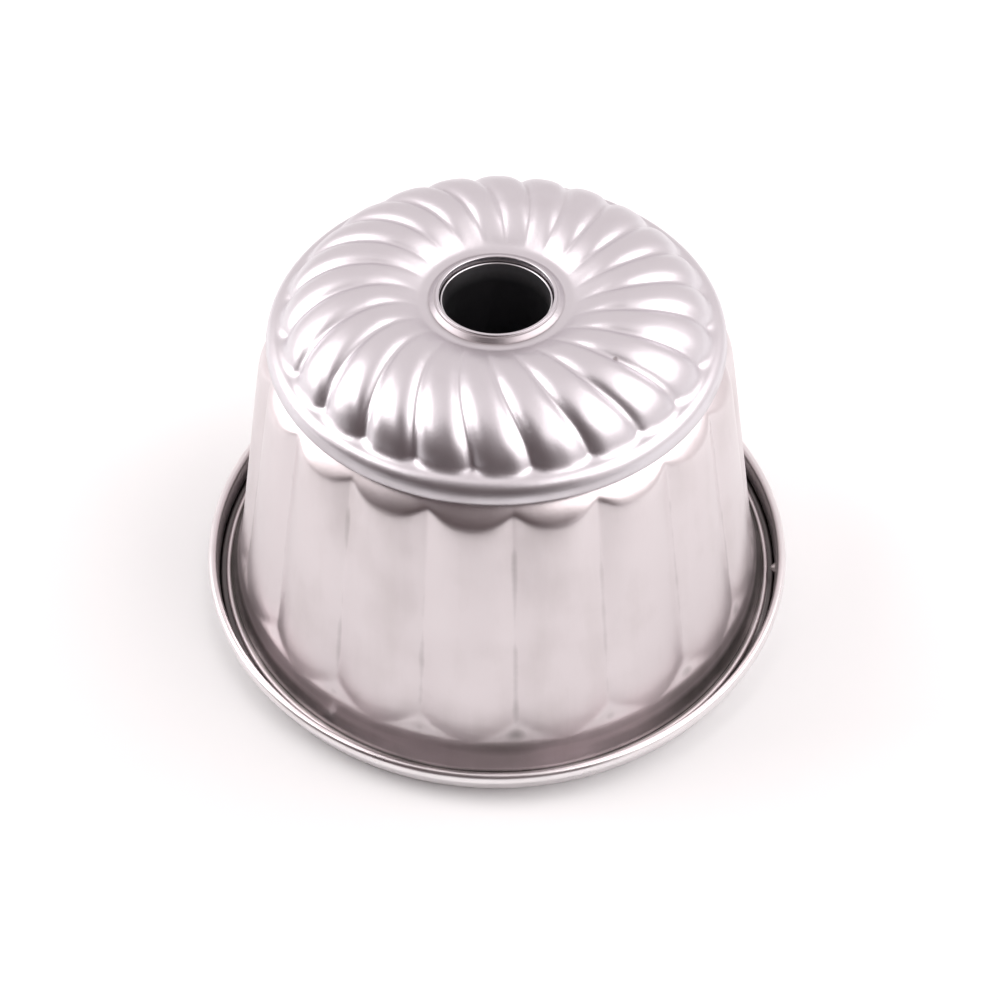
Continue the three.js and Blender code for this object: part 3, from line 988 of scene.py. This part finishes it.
@dataclass(frozen=True)
class SoftBox:
    """A soft lamp that shines at the middle of the object."""

    name: str
    place: Place
    size: Pair
    power: float
    colour: Colour = (1.04, 1.0, 1.0)

    def hang(self, aim: Vector) -> None:
        """Adds the lamp, out of the camera's sight.

        Args:
            aim: The point that it shines at.
        """
        lamp = bpy.data.lights.new(self.name, "AREA")
        lamp.shape = "RECTANGLE"
        lamp.size, lamp.size_y = self.size
        lamp.energy = self.power
        lamp.color = self.colour
        holder = bpy.data.objects.new(self.name, lamp)
        holder.location = self.place
        holder.rotation_euler = (aim - Vector(self.place)).to_track_quat("-Z", "Y").to_euler()
        holder.visible_camera = False
        bpy.context.scene.collection.objects.link(holder)


@dataclass(frozen=True)
class Card:
    """A dark board that the metal mirrors and the camera doesn't see."""

    name: str
    place: Place
    size: Pair
    shade: Colour = CARD_SHADE
    aim: Place = MIDDLE
    shadowless: bool = False

    def stand(self) -> None:
        """Adds the board, facing its aim."""
        mesh = rectangle(self.name, self.size[0] / 2.0, self.size[1] / 2.0)
        bench = NodeBench(self.name)
        bench.shader.inputs["Base Color"].default_value = opaque(self.shade)
        bench.shader.inputs["Roughness"].default_value = MATT
        mesh.materials.append(bench.material)
        board = bpy.data.objects.new(self.name, mesh)
        board.location = self.place
        board.rotation_euler = (Vector(self.aim) - Vector(self.place)).to_track_quat("Z", "Y").to_euler()
        board.visible_camera = False
        board.visible_shadow = board.visible_diffuse = not self.shadowless
        bpy.context.scene.collection.objects.link(board)


@dataclass
class Studio:
    """A pale table in soft light, seen from the front and above."""

    floor_half: float = 3.0
    floor_drop: float = 0.0002
    floor_colour: Colour = (0.94, 0.962, 0.962)
    floor_roughness: float = 0.85
    floor_shine: float = 0.1
    sky: Colour = (1.0, 0.925, 0.93)
    sky_strength: float = 0.885
    lamps: tuple[SoftBox, ...] = (
        SoftBox("lamp_left", (-0.985, 0.03, 0.83), (1.0, 1.2), 10.3),
        SoftBox("lamp_right", (0.84, -0.16, 1.02), (1.4, 1.0), 8.8),
    )
    cards: tuple[Card, ...] = (
        Card("card_front", (-0.03, -0.95, 0.5), (1.56, 1.05)),
        Card("card_left", (-0.84, -0.53, 0.5), (0.9, 0.9)),
        Card("card_over", (-0.2, -0.45, 0.95), (0.7, 0.5)),
        Card("card_table", (-0.1, -0.69, 0.01), (1.3, 0.78), aim=(-0.1, -0.69, 1.0), shadowless=True),
    )
    lens: float = 56.24
    sensor_width: float = 36.0
    eye: Place = (0.0, -0.3333, 0.4042)
    pitch: float = 48.70
    sight: float = 0.516
    pan: float = 0.001

    def lay_floor(self) -> None:
        """Lays the table top just under the lid."""
        mesh = rectangle("floor", self.floor_half, self.floor_half, -self.floor_drop)
        bench = NodeBench("floor_paper")
        bench.shader.inputs["Base Color"].default_value = opaque(self.floor_colour)
        bench.shader.inputs["Roughness"].default_value = self.floor_roughness
        bench.shader.inputs["Specular IOR Level"].default_value = self.floor_shine
        mesh.materials.append(bench.material)
        floor = bpy.data.objects.new("floor", mesh)
        bpy.context.scene.collection.objects.link(floor)

    def light(self) -> None:
        """Sets the pale sky, the lamps and the boards."""
        world = bpy.data.worlds.new("studio_air")
        world.use_nodes = True
        sky = next(n for n in world.node_tree.nodes if n.type == "BACKGROUND")
        sky.inputs["Color"].default_value = opaque(self.sky)
        sky.inputs["Strength"].default_value = self.sky_strength
        bpy.context.scene.world = world
        for lamp in self.lamps:
            lamp.hang(Vector(MIDDLE))
        for card in self.cards:
            card.stand()
        bpy.context.scene.view_settings.view_transform = "Standard"

    def look(self) -> None:
        """Stands the camera where the photograph was taken."""
        data = bpy.data.cameras.new("camera")
        data.lens = self.lens
        data.sensor_width = self.sensor_width
        camera = bpy.data.objects.new("camera", data)
        camera.location = self.eye
        pitch = math.radians(self.pitch)
        ahead = Vector((self.pan, self.sight * math.cos(pitch), -self.sight * math.sin(pitch)))
        camera.rotation_euler = ahead.to_track_quat("-Z", "Y").to_euler()
        bpy.context.scene.collection.objects.link(camera)
        bpy.context.scene.camera = camera


# Each finish's painted_shade colour is the dark tone painted where shade falls; the lid's is nearly black for
# its shaded corner.
WALL_FINISH = SatinMetal("wall_satin", colour=(0.733, 0.68, 0.692), stain=(0.629, 0.58, 0.58),
                         painted_shade=(0.124, 0.118, 0.11), roughness=(0.3, 0.4), grain=Grain.DRAWN)
CROWN_FINISH = SatinMetal("crown_satin", colour=(0.714, 0.69, 0.72), stain=(0.648, 0.615, 0.645),
                          painted_shade=(0.3, 0.265, 0.275), roughness=(0.34, 0.4), grain=Grain.CLOUDED,
                          stain_amount=0.35)
LID_FINISH = SatinMetal("lid_satin", colour=(0.875, 0.84, 0.85), stain=(0.75, 0.72, 0.725),
                        painted_shade=(0.05, 0.042, 0.042), roughness=(0.26, 0.34), grain=Grain.CLOUDED)
TUBE_FINISH = SatinMetal("tube_satin_painted_shade", colour=(0.78, 0.78, 0.8), stain=(0.7, 0.7, 0.72),
                         painted_shade=(0.21, 0.21, 0.225), roughness=(0.3, 0.4), grain=Grain.DRAWN)


def main() -> None:
    """Builds the studio and the four pieces."""
    logging.basicConfig(level=logging.INFO, format="%(name)s: %(message)s")
    studio = Studio()
    studio.look()
    studio.lay_floor()
    studio.light()
    pieces = (
        LidPan("lid_shell", "lid_pan", "lid_metal", Body.LID, LID_FINISH),
        FlutedWall("wall_shell", "fluted_wall", "wall_metal", Body.MOULD, WALL_FINISH),
        SwirlCrown("crown_shell", "swirl_crown", "crown_metal", Body.MOULD, CROWN_FINISH),
        CentreTube("tube_shell", "centre_tube", "tube_metal", Body.MOULD, TUBE_FINISH),
    )
    for piece in pieces:
        piece.dress()


if __name__ == "__main__":
    main()
